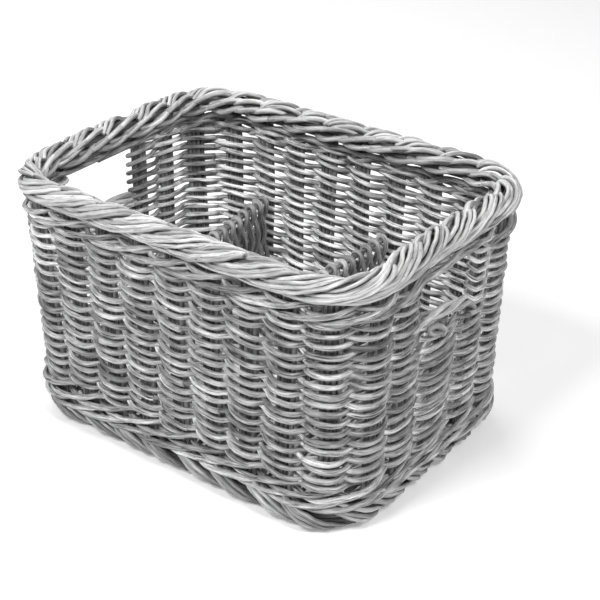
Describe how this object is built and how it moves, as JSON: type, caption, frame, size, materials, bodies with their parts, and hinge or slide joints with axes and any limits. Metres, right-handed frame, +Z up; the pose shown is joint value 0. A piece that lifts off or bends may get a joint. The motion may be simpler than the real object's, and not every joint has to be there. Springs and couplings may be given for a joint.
{
  "type": "cutlery basket",
  "caption": "Oblong woven rattan basket with a rolled rim, plaited foot, handle holes in the short sides and fixed dividers across the inside.",
  "frame": {"origin": "centre of the bounding box in plan, on the surface that the foot stands on", "axes": "+X along the basket's length, +Y along its width towards the back, +Z up"},
  "size_m": [0.28, 0.209, 0.1748],
  "materials": {
    "weaving_cane": "grey-washed round rattan core, dry matt",
    "stake_cane": "grey-washed round rattan core, dry matt, darker in the weave",
    "border_cane": "grey-washed round rattan core, worn pale, faint sheen",
    "divider_cane": "grey-washed round rattan core, dry matt"
  },
  "bodies": {
    "root": {"rim_border": "border_cane", "foot_border": "border_cane", "upper_wale": "weaving_cane", "lower_wale": "weaving_cane", "front_weave": "weaving_cane", "front_right_corner_weave": "weaving_cane", "right_weave_under_handle": "weaving_cane", "back_right_corner_weave": "weaving_cane", "back_weave": "weaving_cane", "back_left_corner_weave": "weaving_cane", "left_weave_under_handle": "weaving_cane", "front_left_corner_weave": "weaving_cane", "right_front_jamb_stake": "stake_cane", "right_short_stake": "stake_cane", "right_back_jamb_stake": "stake_cane", "back_stake_1": "stake_cane", "back_stake_2": "stake_cane", "back_stake_3": "stake_cane", "back_stake_4": "stake_cane", "back_stake_5": "stake_cane", "back_stake_6": "stake_cane", "back_stake_7": "stake_cane", "back_stake_8": "stake_cane", "back_stake_9": "stake_cane", "back_stake_10": "stake_cane", "back_stake_11": "stake_cane", "back_stake_12": "stake_cane", "left_back_jamb_stake": "stake_cane", "left_short_stake": "stake_cane", "left_front_jamb_stake": "stake_cane", "front_stake_1": "stake_cane", "front_stake_2": "stake_cane", "front_stake_3": "stake_cane", "front_stake_4": "stake_cane", "front_stake_5": "stake_cane", "front_stake_6": "stake_cane", "front_stake_7": "stake_cane", "front_stake_8": "stake_cane", "front_stake_9": "stake_cane", "front_stake_10": "stake_cane", "front_stake_11": "stake_cane", "right_handle_sill": "border_cane", "left_handle_sill": "border_cane", "base_weave": "weaving_cane", "base_stick_1": "stake_cane", "base_stick_2": "stake_cane", "base_stick_3": "stake_cane", "base_stick_4": "stake_cane", "base_stick_5": "stake_cane", "left_divider_weave": "divider_cane", "left_divider_rod_1": "stake_cane", "left_divider_rod_2": "stake_cane", "left_divider_rod_3": "stake_cane", "left_divider_rod_4": "stake_cane", "right_divider_weave": "divider_cane", "right_divider_rod_1": "stake_cane", "right_divider_rod_2": "stake_cane", "right_divider_rod_3": "stake_cane", "right_divider_rod_4": "stake_cane"}
  },
  "joints": []
}
